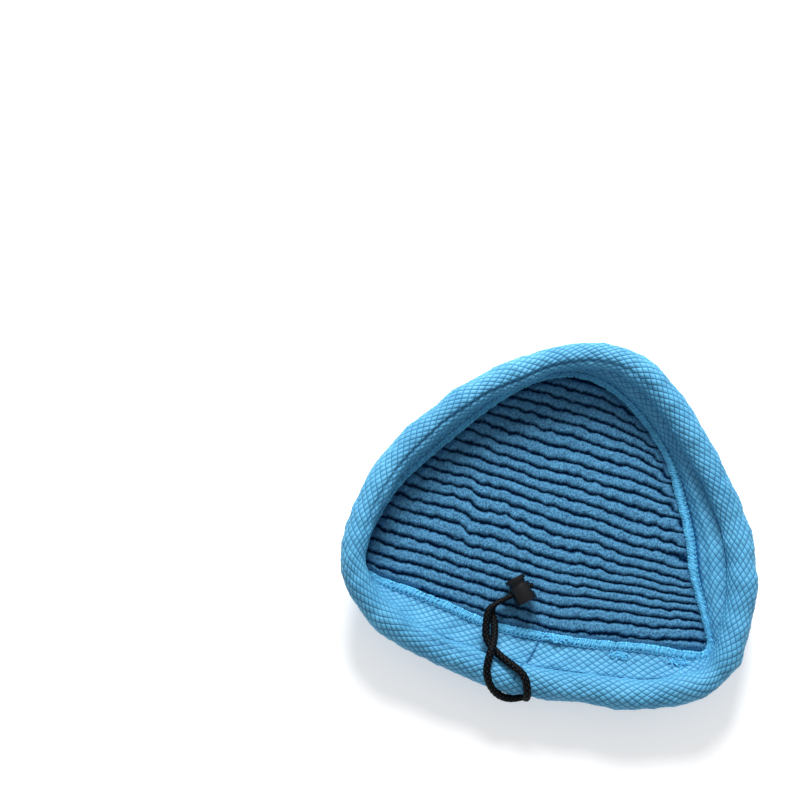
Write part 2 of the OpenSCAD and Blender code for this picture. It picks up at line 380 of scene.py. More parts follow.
# %% The ribbed lining and its backing
lining_pile, space, shader = start_material("lining pile", Roughness=0.9, Specular_IOR_Level=0.03)
combed = space.node("VectorMath", {"operation": "MULTIPLY"}, _0=space, _1=(1.0, 0.5, 1.0))
tufts = combed.noise(1250.0, 2.0)
lumps = space.noise(160.0, 2.0)
# The low attribute is painted shade: the pile is darker in its grooves and along its edge.
groove = space.attribute("low")
raised = (1.0 - groove) * (tufts.between(0.36, 0.64, 0.36, 1.0) * lumps.between(0.3, 0.7, 0.82, 1.0))
connect(raised.mix(srgb(4, 40, 78), srgb(90, 155, 196)), shader, "Base Color")
bump(tufts + lumps * 0.5, shader, 1.2 * MM, 1.0)

backing_knit, space, shader = start_material("backing knit", Roughness=0.85, Specular_IOR_Level=0.1)
loops = space.noise(900.0)
connect(loops.mix(srgb(30, 78, 116), srgb(62, 122, 164)), shader, "Base Color")
bump(loops, shader, 0.4 * MM)

# %% The chenille noodles
chenille, space, shader = start_material("chenille", Roughness=0.9, Specular_IOR_Level=0.05)
tufts = space.noise(900.0, 3.0)
along = space.attribute("along")
tone = space.attribute("tone")
rings = (along / (1.7 * MM) + tufts * 0.8).to_line() * 2.0
raised = rings.between(0.0, 0.5, 0.62, 1.0) * tufts.between(0.3, 0.7, 0.7, 1.0) * tone
connect(raised.mix(srgb(12, 40, 66), srgb(78, 140, 182)), shader, "Base Color")
bump(rings * 0.4 + tufts * 0.7, shader, 0.9 * MM, 0.9)

# %% Cord, lock and spring
braided_cord, space, shader = start_material("braided cord", Roughness=0.5, Specular_IOR_Level=0.07)
fibres = space.noise(1800.0, 2.0)
low_place = space.attribute("low")
lit = (1.0 - low_place).between(0.76, 1.0).power(2.2) * fibres.between(0.3, 0.6, 0.35, 1.0)
connect(lit.mix(srgb(3, 4, 7), srgb(62, 64, 68)), shader, "Base Color")
bump(fibres, shader, 0.3 * MM, 0.7)

lock_plastic, space, shader = start_material("lock plastic", Roughness=0.36, Specular_IOR_Level=0.25)
moulding = space.noise(900.0, 2.0)
connect(moulding.mix(srgb(12, 12, 15), srgb(20, 21, 25)), shader, "Base Color")
bump(moulding, shader, 0.1 * MM, 0.4)

spring_steel, space, shader = start_material("spring steel", Metallic=1.0, Roughness=0.3)
shader.inputs["Base Color"].default_value = srgb(170, 172, 176)
print(len(bpy.data.materials), "materials")

# %% [markdown]
# ## The two free ends of the cord
#
# The cord is one round braid. Its two ends come out of the buttonhole, cross twice and go through the
# lock together. Each follows a short list of places that it passes, joined by a spline. The braid is
# real relief: two sets of strands wind in opposite directions, and at each crossing one of them is on
# top, turn and turn about. Where the lock squeezes it the cord is thinner.

# %% Cord ends
tail_places = {
    "tail_left": MM * np.array([
        [14, -112.5, 26], [9, -114.5, 26], [4.5, -117.5, 26], [0.5, -120.5, 25.8],
        [-4.5, -122.8, 25.2], [-9.5, -123.9, 25], [-15, -123.2, 27], [-20, -120.5, 30.5],
        [-24, -116, 34.5], [-26.5, -110.5, 37.6], [-27.2, -104, 39.3], [-26.8, -97.5, 39.1],
        [-26.2, -91, 35.3], [-26.4, -85, 30.6], [-27.6, -79, 27.2], [-29.6, -74, 25.8],
        [-30.6, -70, 25.6], [-28.8, -65.6, 25.9], [-24.4, -61.9, 26.1], [-20.2, -58.4, 26.1],
        [-15, -54, 26.1], [-10.4, -50.1, 26.1], [-8.1, -48.2, 26.1]]),
    "tail_right": MM * np.array([
        [-8, -112.3, 26.5], [-3.5, -115, 26.5], [0, -118, 27], [1.6, -120.7, 28.8],
        [2.2, -121, 32], [2, -119, 35.6], [1, -115.5, 38.4], [-0.6, -111.3, 39.7],
        [-4, -107, 39.8], [-9.5, -103.8, 38.6], [-15.5, -101, 36.6], [-21.5, -97.8, 34.2],
        [-27.3, -93.5, 31.7], [-31.3, -88, 30.4], [-32.6, -82, 30.4], [-33.3, -75.5, 30.8],
        [-32.8, -70, 30.9], [-28.8, -65.6, 30], [-24.4, -61.9, 29.5], [-20.2, -58.4, 29.5],
        [-15, -54, 29.5], [-10.4, -50.1, 29.5], [-8.1, -48.2, 29.5]])}
cord_radius, nipped_radius = 2.45 * MM, 1.7 * MM
strands, braid_lay, braid_depth, sides = 5, 16 * MM, 0.5 * MM, 60
lock_mouth = MM * np.array([-28.8, -65.6, 28])


def open_curve(rows, spacing):
    """Even places along the smooth curve through the rows, from the first row to the last."""
    padded = np.vstack([2 * rows[0] - rows[1], rows, 2 * rows[-1] - rows[-2]])
    t = np.linspace(1, len(rows), 60 * len(rows)) - 1e-9
    fine = closed_curve(padded, t)
    length = np.concatenate([[0], np.cumsum(np.linalg.norm(np.diff(fine, axis=0), axis=1))])
    even_lengths = np.linspace(0, length[-1], int(length[-1] / spacing) + 1)
    return np.stack([np.interp(even_lengths, length, fine[:, k]) for k in range(3)], -1), even_lengths


def braid(lengths):
    """How far the braid's surface is above its lowest, from 0 to 1, on each ring and side."""
    turns = np.arange(sides) / sides * strands
    climb = lengths[:, None] / braid_lay * strands
    one, other = turns + climb, turns - climb
    one_on_top = (np.floor(one) + np.floor(other)) % 2 == 0
    ridge_one, ridge_other = np.abs(np.sin(np.pi * one)), np.abs(np.sin(np.pi * other))
    return np.where(one_on_top, ridge_one**0.7 * (0.55 + 0.45 * ridge_other),
                    ridge_other**0.7 * (0.55 + 0.45 * ridge_one))


def braided_tube(name, path, lengths, radius, nip):
    relief = braid(lengths)
    melted = np.sqrt(np.clip((lengths[-1] - lengths) / (1.6 * MM), 0.0, 1.0))[:, None] * 0.75 + 0.25
    radii = (radius[:, None] + braid_depth * (1 - 0.6 * nip[:, None]) * (relief - 0.6)) * melted
    low = 1 - np.append(relief.ravel(), [0, 0])
    piece = tube_object(name, path[None], radii[None], sides, (0, 0, 1))
    piece.data.attributes.new("low", "FLOAT", "POINT").data.foreach_set("value", low)
    return piece


cord_pieces, cord_paths = {}, {}
for name, places in tail_places.items():
    path, lengths = open_curve(places, 0.38 * MM)
    to_lock = np.linalg.norm(path - lock_mouth, axis=1)
    after = np.arange(len(path)) > np.argmin(to_lock)
    nip = np.clip(np.where(after, 1, 1 - (to_lock - 3 * MM) / (9 * MM)), 0, 1)
    radius = cord_radius + (nipped_radius - cord_radius) * nip * nip * (3 - 2 * nip)
    cord_pieces[name] = braided_tube(name, path, lengths, radius, nip)
    cord_paths[name] = path
    belongs(cord_pieces[name], braided_cord, "braided_cord", "drawstring_" + name)
    print(name, "length", round(float(lengths[-1]), 4), "m")

# %% [markdown]
# ## Where the cloth of the band lies
#
# Cut across, the band is a short wall that rises from the seam and a roll on top of it, where the
# cloth is folded over and stitched down to make the casing. At each place round the mitt that section
# stands in its own upright plane, pointing straight outwards, so it takes two numbers: how far out
# from the seam, and how high above it.

# %% The band's section at each place
band_t, hem_mid_r, overlock_w = 2.5 * MM, 8.25 * MM, 5.5 * MM
pinch = 1.15                        # how far the casing's stitch line is from the hem's middle, in radii
quilt_along, quilt_across, quilt_steps = 6.2 * MM, 4.4 * MM, 7
diamonds_round = round(hem_length / quilt_along)
quilt_along = hem_length / diamonds_round


class Sections:
    """The band's upright sections at places t round the mitt."""

    def __init__(self, t):
        row = closed_curve(marks, t)
        self.seam, self.t = row[:, 0:2], t
        self.outward = unit(row[:, 2:4] - self.seam)
        self.centre = np.stack([np.linalg.norm(row[:, 2:4] - self.seam, axis=1), row[:, 4] - seam_z], -1)
        self.angle = np.arctan2(-self.centre[:, 1], overlock_w - self.centre[:, 0])
        reach = pinch * hem_mid_r
        self.meeting = self.centre + reach * np.stack([np.cos(self.angle), np.sin(self.angle)], -1)

    def place(self, section):
        """section is (n, m, 2): out and up. Gives (n, m, 3)."""
        out = self.seam[:, None] + self.outward[:, None] * section[..., :1]
        return np.concatenate([out, seam_z + section[..., 1:]], -1)

    def wall(self, count):
        """The middle of the wall's cloth from the seam to the stitch line, evenly spaced."""
        start = np.array([3 * MM, 0.0])
        low = np.stack([np.maximum(6.5 * MM, 0.6 * self.meeting[:, 0]), 0.15 * self.meeting[:, 1]], -1)
        q = np.linspace(0, 1, 60)[:, None]
        fine = ((1 - q)**2 * start + 2 * q * (1 - q) * low[:, None] + q**2 * self.meeting[:, None])
        steps = np.linalg.norm(np.diff(fine, axis=1), axis=2)
        length = np.concatenate([np.zeros((len(fine), 1)), np.cumsum(steps, axis=1)], axis=1)
        wanted = length[:, -1:] * np.linspace(0, 1, count)
        middle = np.stack([np.stack([np.interp(w, s, f[:, k]) for k in (0, 1)], -1)
                           for w, s, f in zip(wanted, length, fine)])
        along = unit(np.gradient(middle, axis=1))
        return middle, np.stack([-along[..., 1], along[..., 0]], -1), length[:, -1]


def pillow(u, v):
    """Height of the quilting, from 0 in a crease to 1 in the middle of a diamond."""
    return np.abs(np.sin(np.pi * (u + v)) * np.sin(np.pi * (u - v))) ** 0.42


def smooth_step(x, low, high):
    x = np.clip((x - low) / (high - low), 0, 1)
    return x * x * (3 - 2 * x)


def round_gap(t, middle, half_width):
    """1 at a place round the mitt, falling smoothly to 0 half_width marks away on either side."""
    away = np.abs((t - middle + len(marks) / 2) % len(marks) - len(marks) / 2)
    return 1 - smooth_step(away, 0, half_width)


# %% [markdown]
# ## The wall
#
# The wall shows its inner face to anyone who looks into the mitt. It has the quilting, soft wrinkles,
# and along the right side a fold that runs parallel to the rim. Near the stitch line the cloth is
# pulled thin, which is what makes the groove below the hem. Shade is painted into its colour there,
# beside the overlock, along the end seam and in the valley beside the fold. The strip's two ends meet
# in a seam across the near side.

# %% Band wall
n_round, n_face = quilt_steps * diamonds_round, 38
t_round, _ = even(hem_line, n_round)
sections = Sections(t_round)
middle, normal, wall_length = sections.wall(n_face)
u_round = np.arange(n_round) / quilt_steps
share = np.linspace(0, 1, n_face)
v_face = wall_length[:, None] * share / quilt_across

end_seam_t, end_seam_slant = 0.13, -0.2
fold = round_gap(t_round, 7.0, 3.6)[:, None] * np.exp(-((share - 0.56) / 0.2)**2)
fold += 1.2 * round_gap(t_round, 10.8, 2.0)[:, None] * np.exp(-((share - 0.45) / 0.28)**2)
valley = round_gap(t_round, 7.0, 3.6)[:, None] * np.exp(-((share - 0.12) / 0.12)**2)
points = sections.place(middle)
wrinkle = 0.7 * MM * ripple(points, 26 * MM, 3) + 0.35 * MM * ripple(points, 11 * MM, 4)
free = (smooth_step(share, 0, 0.25) * (1 - smooth_step(share, 0.75, 1.0)))[None]
thin = 1 - 0.7 * smooth_step(share, 0.88, 1.0)[None]


def end_seam(along_wall):
    """Where the end seam is round the mitt, from the overlock (0) to the hem (1) and beyond."""
    return end_seam_t + end_seam_slant * along_wall + 0.03 * np.sin(np.pi * along_wall)


def near_end_seam(t, along_wall, width=0.022):
    away = (t - end_seam(along_wall) + len(marks) / 2) % len(marks) - len(marks) / 2
    return np.exp(-(away / width)**2)


end_dent = near_end_seam(t_round[:, None], share[None])
relief = 0.75 * MM * pillow(u_round[:, None], v_face) * thin
lift = free * wrinkle + 3.6 * MM * fold - 1.8 * MM * valley - 0.8 * MM * end_dent
inner = middle + normal * (0.75 * MM * thin + relief + lift)[..., None]
outer = middle + normal * (-0.75 * MM * thin - relief + lift)[..., None]
wall_points = sections.place(np.concatenate([inner, outer[:, ::-1]], axis=1))

u_edge = np.append(u_round, diamonds_round)
v_edge = np.vstack([v_face, v_face[:1]])
v_all = np.concatenate([v_edge, v_edge[:, ::-1], v_edge[:, :1]], axis=1)
uv = np.stack(np.broadcast_arrays(u_edge[:, None], v_all), -1)
# Painted shade: the wall's colour is darkened along the end seam's dent, in the thin groove under the hem,
# beside the overlock and in the fold's valley.
beside_overlock = 1 - smooth_step(share, 0.13, 0.27)[None]
shade = 1 - 0.95 * end_dent - 1.2 * (1 - thin) - 0.75 * beside_overlock - 0.5 * valley
shade = np.concatenate([shade, np.ones_like(relief)], axis=1)
band_wall = grid_object("band_wall", wall_points, uv, values={"shade": np.clip(shade, 0, 1)})
belongs(band_wall, air_mesh, "air_mesh", "mesh_band")
print("wall height", (wall_length.min() * 1000).round(1), "to", (wall_length.max() * 1000).round(1), "mm")

# %% [markdown]
# ## The hem
#
# The hem is the same strip, rolled round the casing. Its section is a circle drawn out to a point at
# the stitch line. The outer face has the quilting. The inner face, round the cord, is a plainer copy
# one cloth thickness in, so it needs far fewer columns. Where the cord comes out, the outer face is
# pressed in behind the buttonhole.

# %% Band hem
spread = math.acos(1 / pinch)
turns_of_quilt, n_inner = 14, 12
n_outer = turns_of_quilt * quilt_steps + 1


def roll(angles, radius):
    """Distance from the hem's middle at angles measured from the stitch line."""
    from_line = np.minimum(angles, 2 * np.pi - angles)
    return radius / np.cos(np.maximum(spread - from_line, 0))


def hem_section(angles, radius):
    """The roll's section at every place round the mitt: (n, m, 2)."""
    turn = sections.angle[:, None] + angles[None]
    distance = np.broadcast_to(radius, turn.shape)
    return sections.centre[:, None] + distance[..., None] * np.stack([np.cos(turn), np.sin(turn)], -1)


outer_angles = np.linspace(0, 2 * np.pi, n_outer)
inner_angles = np.linspace(2 * np.pi, 0, n_inner + 2)[1:-1]
v_outer = np.linspace(0, turns_of_quilt, n_outer)
base = roll(outer_angles, hem_mid_r + band_t / 2)
points = sections.place(hem_section(outer_angles, base))
near_line = smooth_step(np.minimum(outer_angles, 2 * np.pi - outer_angles), 0.1, 0.5)[None]
upright_turn = sections.angle[:, None] + outer_angles[None]
far_left = round_gap(t_round, 14.4, 4.6)[:, None] ** 0.5
near_left = 0.5 * round_gap(t_round, 22.3, 1.6)[:, None]
folded = far_left * np.exp(-((upright_turn - math.radians(128)) / 0.14)**2)
folded += near_left * np.exp(-((upright_turn - math.radians(115)) / 0.2)**2)
wrinkle = (0.75 * MM * ripple(points, 34 * MM, 5) + 0.42 * MM * ripple(points, 13 * MM, 6)) * near_line
full = round_gap(t_round, 23.7, 1.3)[:, None] * np.exp(-(upright_turn / 0.8)**2)
buttonhole_at = np.array([3, -119.2, 26.5]) * MM
off = points - buttonhole_at
slot_across = np.maximum(np.abs(off[..., 0]) - 3.3 * MM, 0)
behind_slot = np.exp(-((slot_across**2 + off[..., 2]**2) / (2.6 * MM)**2)**2) * (off[..., 1] < 6 * MM)
relief = pillow(u_round[:, None], v_outer[None]) * near_line
up_hem = np.clip((2 * np.pi - outer_angles) / np.pi, 0, 1)[None]
hem_dent = near_end_seam(t_round[:, None], 1.0 + 1.2 * up_hem)
hem_dent = hem_dent * (outer_angles > 1.3 * np.pi)
distance = (base[None] - 0.45 * MM + 0.75 * MM * relief + wrinkle - 1.6 * MM * behind_slot - 1.7 * MM * folded
            - 0.7 * MM * hem_dent + 1.8 * MM * full)
outer = hem_section(outer_angles, distance)
inner = hem_section(inner_angles, roll(inner_angles, hem_mid_r - band_t / 2))
hem_points = sections.place(np.concatenate([outer, inner], axis=1))
v_all = np.concatenate([v_outer, inner_angles / (2 * np.pi) * turns_of_quilt, [0]])
uv = np.stack(np.broadcast_arrays(u_edge[:, None], v_all[None]), -1)
# Painted shade: the hem is darkened behind the buttonhole, in its folds, along the end seam's dent and
# towards the stitch line, and the inner face round the cord is painted dark at 0.4.
shade = 1 - np.maximum(0.95 * behind_slot, np.maximum(0.7 * folded, 0.85 * hem_dent)) - 0.75 * (1 - near_line)
shade = np.concatenate([np.clip(shade, 0, 1), np.full((n_round, n_inner), 0.4)], axis=1)
band_hem = grid_object("band_hem", hem_points, uv, values={"shade": shade})
belongs(band_hem, air_mesh, "air_mesh", "mesh_band")
print("hem box", *((end(hem_points, axis=(0, 1)) / MM).round(1) for end in (np.min, np.max)))

# %% [markdown]
# ## The sewing
#
# The overlock wraps the raw edges of four layers in thread. The thread lies across the seam, turn
# after turn, so the seam is a bead with fine ridges across it, and along its edges two looper
# threads make a chain. It reaches under the backing, so no edge is left open. The other sewing is
# small separate stitches: one short tube each.

# %% Overlocked seam
thread_pitch = 1.5 * MM
n_threads = round(seam_length / thread_pitch)
t_seam, _ = even(seam_line, 5 * n_threads)
seam_sections = Sections(t_seam)
n_bead = 16
around = np.arange(n_bead) * 2 * np.pi / n_bead
flat_seam = np.pad(seam_sections.seam, ((0, 0), (0, 1)))
stray = 0.55 * ripple(flat_seam, 5 * MM, 12)[:, None]
stray = stray + 0.35 * ripple(flat_seam, 2.6 * MM, 13)[:, None] * np.sin(around)
phase = np.arange(5 * n_threads)[:, None] / 5 + 0.6 * np.cos(around)[None] + stray
uneven = np.random.default_rng(11).normal(0, 1, n_threads).repeat(5)[:, None]
ridge = np.abs(np.sin(np.pi * phase))
hole = np.abs(np.sin(np.pi * np.arange(5 * n_threads) / 10))[:, None]**6
hole = hole * np.exp(-((around - 0.75) / 0.33)**2)[None]
swell = 1 + 0.10 * ripple(flat_seam, 9 * MM, 8)[:, None]
half_w, half_h = 2.95 * MM * swell, 2.0 * MM * swell
bead_r = 0.5 * MM * (ridge - 0.5) + 0.1 * MM * uneven - 0.7 * MM * hole
wrapped_under = seam_z + 0.9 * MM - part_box("chenille_backing")[0][2]
half_up = np.where(np.sin(around) < 0, wrapped_under, half_h) + bead_r
section = np.stack([2.75 * MM + (half_w + bead_r) * np.cos(around), 0.9 * MM + half_up * np.sin(around)], -1)
# Painted shade: the overlock's colour is darker between its turns of thread and in the stitch holes.
low = np.clip((1 - ridge) ** 1.4 * 0.75 + 0.9 * hole, 0, 1)
overlock = grid_object("overlock_edge", seam_sections.place(section), values={"low": low})
belongs(overlock, seam_thread, "seam_thread", "overlock_seam")


def thread_along(name, offset_out, offset_up, wobble, step, radius, seed):
    """A thread that runs all round the seam, swinging from side to side once in each step."""
    count = 6 * round(seam_length / step)
    t, _ = even(seam_line, count)
    where = Sections(t)
    swing = np.arange(count) / 6 * 2 * np.pi
    jitter = np.random.default_rng(seed).normal(0, 0.08 * MM, count)
    line = np.stack([offset_out + wobble * np.sin(swing) + jitter,
                     offset_up + 0.3 * wobble * np.cos(2 * swing)], -1)
    turn = np.arange(6) * np.pi / 3
    ring = line[:, None] + radius * np.stack([np.cos(turn), np.sin(turn)], -1)
    piece = grid_object(name, where.place(ring), values={"low": np.full((count, 6), 0.25)})
    return belongs(piece, seam_thread, "seam_thread", "overlock_seam")


thread_along("looper_thread_outer", 5.3 * MM, 2.2 * MM, 0.55 * MM, 3.0 * MM, 0.33 * MM, 21)
thread_along("looper_thread_inner", 1.0 * MM, 2.7 * MM, 0.6 * MM, 3.0 * MM, 0.33 * MM, 22)

# %% Stitches of the casing, the end seam and the buttonhole
def stitches(name, starts, ends, lift, radius, low=0.2, rings=5):
    """Short tubes from starts to ends, each bowed out along lift."""
    q = np.linspace(0, 1, rings)[None, :, None]
    paths = starts[:, None] * (1 - q) + ends[:, None] * q + lift[:, None] * (4 * q * (1 - q))
    radii = np.full(paths.shape[:2], radius)
    radii[:, [0, -1]] *= 0.7
    return tube_object(name, paths, radii, 6, (0, 0, 1), {"low": np.full(len(starts), low)})


n_stitch = 2 * (round(hem_length / (3.4 * MM)) // 2)
t_stitch, _ = even(hem_line, 4 * n_stitch)
stitch_sections = Sections(t_stitch)
stitch_mid, stitch_normal, _ = stitch_sections.wall(34)
line = stitch_sections.place((stitch_mid + stitch_normal * 0.75 * MM)[:, 31:32])[:, 0]
away = unit(line - stitch_sections.place(stitch_mid[:, 31:32])[:, 0])
line_back = stitch_sections.place((stitch_mid - stitch_normal * 0.75 * MM)[:, 31:32])[:, 0]
casing = np.concatenate([line[0::4], line_back[0::4]]), np.concatenate([line[3::4], line_back[3::4]])
stitches_lift = 0.25 * MM * np.concatenate([away[0::4], -away[0::4]])
belongs(stitches("casing_stitches", *casing, stitches_lift, 0.28 * MM), seam_thread, "seam_thread",
        "casing_stitch")

seam_share = np.linspace(0.04, 0.9, 15)
seam_sections_here = Sections(end_seam(seam_share) % len(marks))
mid_here, normal_here, _ = seam_sections_here.wall(60)
columns = np.round(seam_share * 59).astype(int)
rows = np.arange(len(seam_share))
at = seam_sections_here.place((mid_here + normal_here * 0.75 * MM)[rows, columns][:, None])[:, 0]
lift_here = unit(at - seam_sections_here.place(mid_here[rows, columns][:, None])[:, 0])
sideways = np.cross(unit(np.gradient(at, axis=0)), lift_here)
side = np.where(rows % 2 == 0, 1, -1)[:, None] * sideways * 0.5 * MM
# The end seam's stitches are painted dark with low at 0.85, carrying the painted shade of the seam's dent
# over them.
belongs(stitches("end_seam_stitches", at[:-1] + side[:-1], at[1:] + side[1:], lift_here[:-1] * 0.3 * MM,
                 0.22 * MM, low=0.85), seam_thread, "seam_thread", "band_end_seam")

# Ends of the overlock thread that stick out in three places.
rng = np.random.default_rng(41)
tuft_at = MM * np.array([[57, -80, 20.6], [14.5, -79.2, 20.8], [96, -76.5, 21]])
ends_each = 90
ends = (ends_each * len(tuft_at), 3)
roots = np.repeat(tuft_at, ends_each, axis=0) + rng.normal(0, 1, ends) * MM * [2.8, 0.9, 0.25]
tips = roots + rng.normal(0, 1, ends) * MM * [1.5, 0.9, 0.3] + np.array([0, -0.8, 0.3]) * MM
curl = rng.normal(0, 0.4, ends) * MM
belongs(stitches("loose_thread_tufts", roots, tips, curl, 0.42 * MM, low=0.0), seam_thread, "seam_thread",
        "overlock_seam")

hole_l, hole_h, rim_r = 13.3 * MM, 6.7 * MM, 0.85 * MM
n_hole = 180
straight, end_r = hole_l - hole_h, hole_h / 2
walk = np.arange(n_hole) / n_hole * (2 * straight + 2 * np.pi * end_r)
far = np.clip(walk - straight, 0, np.pi * end_r) / end_r
near = np.clip(walk - 2 * straight - np.pi * end_r, 0, np.pi * end_r) / end_r
back = np.clip(walk - straight - np.pi * end_r, 0, straight)
rim_x = np.clip(walk, 0, straight) - back - straight / 2 + end_r * (np.sin(far) - np.sin(near))
rim_z = end_r * (1 - np.cos(far) - (1 - np.cos(near))) - end_r
rim = np.stack([rim_x, np.zeros(n_hole), rim_z], -1)
outwards = unit(np.cross(np.gradient(np.vstack([rim[-1:], rim, rim[:1]]), axis=0)[1:-1], [0, 1.0, 0]))
turn = np.arange(12) * np.pi / 6
satin = rim_r * (1 + 0.10 * np.sin(np.arange(n_hole) * np.pi / 2))[:, None, None]
ring = rim[:, None] + satin * (outwards[:, None] * np.cos(turn)[:, None]
                               + np.array([0, -1.0, 0]) * np.sin(turn)[:, None])
ring[..., 1] += ring[..., 2]**2 / (2 * 9.5 * MM)
low = np.broadcast_to(0.35 - 0.35 * np.sin(np.arange(n_hole) * np.pi / 2)[:, None], ring.shape[:2])
buttonhole = grid_object("buttonhole_stitching", ring + buttonhole_at, values={"low": low})
belongs(buttonhole, seam_thread, "seam_thread", "buttonhole")

t_run, _ = even(hem_line, 480)
run = Sections(t_run)
turn = np.arange(12) * np.pi / 6
hem_outer_r, slack = 9.5 * MM, 1 * MM
low_in_casing = run.centre + np.array([0, 5 * MM / 2 + band_t - hem_outer_r + slack])
ring = low_in_casing[:, None] + cord_radius * np.stack([np.cos(turn), np.sin(turn)], -1)
run_cord = grid_object("drawstring_run", run.place(ring), values={"low": np.full(ring.shape[:2], 0.5)})
belongs(run_cord, braided_cord, "braided_cord", "drawstring_in_casing")

# %% [markdown]
# ## The ribbed lining
#
# The lining is a deep pile laid in ribs that run across the mitt. It starts as a fine flat grid, cut
# to the shape of the base, and only its height is worked out: a round-topped rib, a narrow groove, and
# small lumps everywhere. The ribs wander, because the grid asks how far it is from the nearest groove
# after the grooves have been shifted sideways by slow and fast waves, a kink or two, and the gathers
# at the seam. The edge is then drawn down to a flat underside, so that the cloth is closed.

# %% Lining grid
outline_t, _ = even(seam_line, 900)
outline = closed_curve(marks, outline_t)[:, :2]


def inside(xy, loop):
    """True for each point that is inside the closed loop."""
    a, b = loop, np.roll(loop, -1, axis=0)
    result = np.zeros(len(xy), bool)
    for k in range(0, len(xy), 4000):
        x, y = xy[k:k + 4000, :1], xy[k:k + 4000, 1:]
        crosses = (a[:, 1] > y) != (b[:, 1] > y)
        with np.errstate(divide="ignore", invalid="ignore"):
            at_x = a[:, 0] + (y - a[:, 1]) / (b[:, 1] - a[:, 1]) * (b[:, 0] - a[:, 0])
        result[k:k + 4000] = (crosses & (x < at_x)).sum(1) % 2 == 1
    return result


def nearest(xy, loop):
    """Index of the loop's nearest point and the distance to it."""
    index = np.concatenate([
        ((xy[k:k + 4000, None] - loop[None])**2).sum(-1).argmin(1) for k in range(0, len(xy), 4000)])
    return index, np.linalg.norm(xy - loop[index], axis=1)


low_corner, high_corner = outline.min(0), outline.max(0)
grid_x = np.arange(low_corner[0], high_corner[0], 0.85 * MM)
grid_y = np.arange(low_corner[1], high_corner[1], 0.56 * MM)
flat = np.stack(np.meshgrid(grid_x, grid_y, indexing="ij"), -1)
is_in = inside(flat.reshape(-1, 2), outline).reshape(flat.shape[:2])
keep_cell = is_in[:-1, :-1] & is_in[1:, :-1] & is_in[1:, 1:] & is_in[:-1, 1:]
number = np.arange(flat.shape[0] * flat.shape[1]).reshape(flat.shape[:2])
faces = np.stack([number[:-1, :-1], number[1:, :-1], number[1:, 1:], number[:-1, 1:]], -1)[keep_cell]
used, faces = np.unique(faces, return_inverse=True)
faces = faces.reshape(-1, 4)
xy = flat.reshape(-1, 2)[used]
touches = np.bincount(faces.ravel(), minlength=len(xy))
at_edge = touches < 4
edge_index, to_edge = nearest(xy, outline)
xy[at_edge] = outline[edge_index[at_edge]]
to_edge[at_edge] = 0
print("lining grid", len(xy), "points,", len(faces), "faces,", at_edge.sum(), "at the edge")

# %% Lining ribs
rib_pitch = 8.0 * MM
x, y = xy[:, 0], xy[:, 1]
plane = np.stack([x, y, np.zeros_like(x)], -1)
shift = -0.06 * x
shift += 0.20 * np.maximum(x - 20 * MM, 0) * (1 - smooth_step(y, -58 * MM, -12 * MM))
shift += 1.1 * MM * ripple(plane * [1, 0.45, 1], 42 * MM, 31)
shift += 0.5 * MM * ripple(plane, 11 * MM, 32) + 0.22 * MM * ripple(plane, 4.5 * MM, 33)
for kink_x, kink_y, reach, step, width in MM * np.array([
        [-58, -4, 34, -4.2, 3.0], [-50, 38, 14, -2.2, 4], [18, -58, 16, 1.8, 5], [28, 6, 16, -1.8, 5],
        [-88, -30, 14, -1.6, 4], [52, -34, 12, 2.0, 4], [2, 62, 14, -2.0, 5]]):
    shift += 0.5 * step * np.tanh((x - kink_x) / width) * np.exp(-((y - kink_y) / reach)**2)
station = outline_t[edge_index]
gather = round_gap(station, 8.0, 4.2) + 0.35 * round_gap(station, 16.5, 3.0)
gather = gather * np.exp(-(to_edge / (8 * MM))**2)
arc = edge_index / len(outline) * seam_length
shift -= 8 * MM * round_gap(station, 9.2, 2.6) * np.exp(-(to_edge / (12 * MM))**2)
shift += gather * 2.6 * MM * np.sin(arc / (12.5 * MM) * 2 * np.pi + 1.2 * np.sin(arc / (31 * MM)))
place = (y - shift) / rib_pitch
to_groove = np.abs(place - np.round(place))
side_of_rib = np.clip((to_groove - 0.03) / 0.36, 0, 1)
rib = np.sqrt(1 - (1 - side_of_rib)**2)
lump = ripple(plane * [1, 0.45, 1], 2.7 * MM, 34, 22) * 0.24 * MM
lump = lump + ripple(plane, 1.9 * MM, 35, 30) * 0.13 * MM
puff = ripple(plane * [1, 0.3, 1], 14 * MM, 36) * 0.25 * MM
height = 0.3 * MM + 3.7 * MM * rib + (lump + puff) * (0.35 + 0.65 * rib)
height *= 0.45 + 0.55 * smooth_step(to_edge, 0, 4.5 * MM)
z = np.clip(lining_low + height, lining_low + 0.3 * MM, lining_top)
# Painted shade: the lining's colour darkens in each groove and along its edge under the band.
low = 1 - smooth_step(to_groove + lump / (4 * MM), 0.02, 0.24) + 0.3 * np.clip(1 - to_edge / (4 * MM), 0, 1)
lining = new_object("lining_ribs", np.stack([x, y, z], -1), faces, values={"low": np.clip(low, 0, 1)})

mesh = bmesh.new()
mesh.from_mesh(lining.data)
rim = [edge for edge in mesh.edges if edge.is_boundary]
skirt = bmesh.ops.extrude_edge_only(mesh, edges=rim)["geom"]
for corner in skirt:
    if isinstance(corner, bmesh.types.BMVert):
        corner.co.z = lining_low + 0.1 * MM
bmesh.ops.holes_fill(mesh, edges=[e for e in skirt if isinstance(e, bmesh.types.BMEdge)], sides=0)
bmesh.ops.recalc_face_normals(mesh, faces=mesh.faces)
mesh.to_mesh(lining.data)
mesh.free()
lining.data.polygons.foreach_set("use_smooth", [True] * len(lining.data.polygons))
belongs(lining, lining_pile, "lining_pile", "ribbed_lining")

